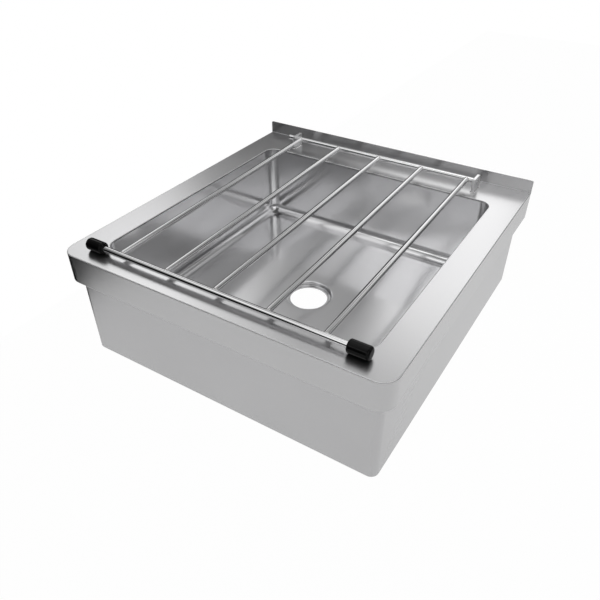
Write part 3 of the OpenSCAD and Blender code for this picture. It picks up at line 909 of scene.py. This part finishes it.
# %% [markdown]
# ## Light
# Polished steel is only as good as what it mirrors. A plain white room would make it flat, so this
# studio is dark with soft panels hung round the sink. Area lamps could stand in for panels, but
# they would have hard edges and get in the way of other views. Here the world itself is the studio:
# its light is worked out from the direction alone. A direction has a bearing, from the wall's side
# clockwise, and a height above level. A panel is one inside its width and its height and fades
# over six degrees at its edges. The camera, and rays through clear things, see plain white instead.

# %% Bearing and height of a direction
world = bpy.data.worlds.new("studio")
bpy.context.scene.world = world
world.use_nodes = True
nodes, links = world.node_tree.nodes, world.node_tree.links
place = nodes.new("ShaderNodeTexCoord")
way_out = nodes.new("ShaderNodeSeparateXYZ")
links.new(place.outputs["Generated"], way_out.inputs[0])
turn_round = math_node(nodes, links, "ARCTAN2", way_out.outputs["X"], way_out.outputs["Y"])
bearing = math_node(nodes, links, "DEGREES", turn_round)
height = math_node(nodes, links, "DEGREES", math_node(nodes, links, "ARCSINE", way_out.outputs["Z"]))
soft_half = 3


def soft_edge(angle, middle, half):
    """One inside the half width from a middle and zero outside, smooth over twice soft_half."""
    difference = math_node(nodes, links, "SUBTRACT", angle, middle)
    apart = math_node(nodes, links, "WRAP", difference, 180.0, -180.0)
    fade = nodes.new("ShaderNodeMapRange")
    fade.interpolation_type = "SMOOTHSTEP"
    for key, number in (("From Min", half - soft_half), ("From Max", half + soft_half), ("To Min", 1.0),
                        ("To Max", 0.0)):
        fade.inputs[key].default_value = number
    links.new(math_node(nodes, links, "ABSOLUTE", apart), fade.inputs["Value"])
    return fade.outputs["Result"]


print("world turns directions into degrees")

# %% [markdown]
# The panels hang where the photograph's steel mirrors light. All their numbers, places and sizes and
# strengths, come from another program: a least-squares fit to how bright the photograph is at points
# on the sink. They were only set to whole degrees, put in order and named. A row is (bearing, half
# width, height, half height, strength), with angles in degrees.

# %% The panels
panels = {
    "wall side, bright upright strip": (-17, 8, 27, 15, 1.40),
    "wall side, low and wide": (15, 28, 22, 16, 0.49),
    "wall side, band above it": (12, 18, 35, 6, 0.66),
    "wall side left, small": (-56, 12, 30, 9, 1.14),
    "wall side left, tall and faint": (-36, 9, 48, 24, 0.37),
    "wall side left, small and low": (-45, 10, 36, 6, 0.62),
    "wall side right, low": (55, 12, 5, 7, 0.64),
    "wall side right, main": (60, 15, 46, 14, 1.16),
    "wall side right, faint band": (52, 43, 47, 8, 0.15),
    "right, large and faint": (76, 26, 40, 28, 0.31),
    "right, high": (101, 25, 66, 10, 0.28),
    "front right, main": (132, 23, 41, 19, 0.98),
    "front right, low and wide": (147, 39, 15, 18, 0.63),
    "front, low upright strip": (-173, 7, 11, 21, 0.80),
    "front, high and faint": (-171, 13, 62, 8, 0.17),
    "front, small and bright": (-161, 9, 33, 5, 1.62),
    "front left, band": (-145, 21, 41, 8, 0.50),
    "front left, large and faint": (-126, 40, 40, 20, 0.11),
    "left, high and wide": (-114, 35, 65, 19, 0.96),
    "left, low and bright": (-106, 14, 12, 6, 2.18),
    "overhead, left": (-96, 18, 79, 8, 0.60),
    "overhead, back left": (-66, 25, 80, 9, 0.26),
    "overhead, main": (-17, 44, 73, 14, 1.37),
    "overhead, wide and faint": (-27, 50, 63, 20, 0.41),
    "overhead, right of the main": (8, 18, 73, 9, 0.17),
}
dark_air = 0.001
light = dark_air
for middle, half_width, middle_height, half_height, strength in panels.values():
    panel = math_node(nodes, links, "MULTIPLY", soft_edge(bearing, middle, half_width),
                      soft_edge(height, middle_height, half_height))
    light = math_node(nodes, links, "ADD", math_node(nodes, links, "MULTIPLY", panel, strength), light)
print("soft panels:", len(panels))

# %% What each kind of ray sees of the world
seen = seen_directly(nodes, links, nodes.new("ShaderNodeLightPath"))
unseen = math_node(nodes, links, "SUBTRACT", 1.0, seen)
shown = math_node(nodes, links, "ADD", math_node(nodes, links, "MULTIPLY", light, unseen), seen)
background = nodes["Background"]
background.inputs["Color"].default_value = (1, 1, 1, 1)
links.new(shown, background.inputs["Strength"])
print("the camera sees plain white")

# %% [markdown]
# ## Look through the camera
# The Standard view keeps a colour as it is written. Last come the sizes: the box that the dressed
# model fills is printed.

# %% View, sizes and finish
bpy.context.scene.view_settings.view_transform = "Standard"
low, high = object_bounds()
print("visual box:", [round(v, 4) for v in (*low, *high)])
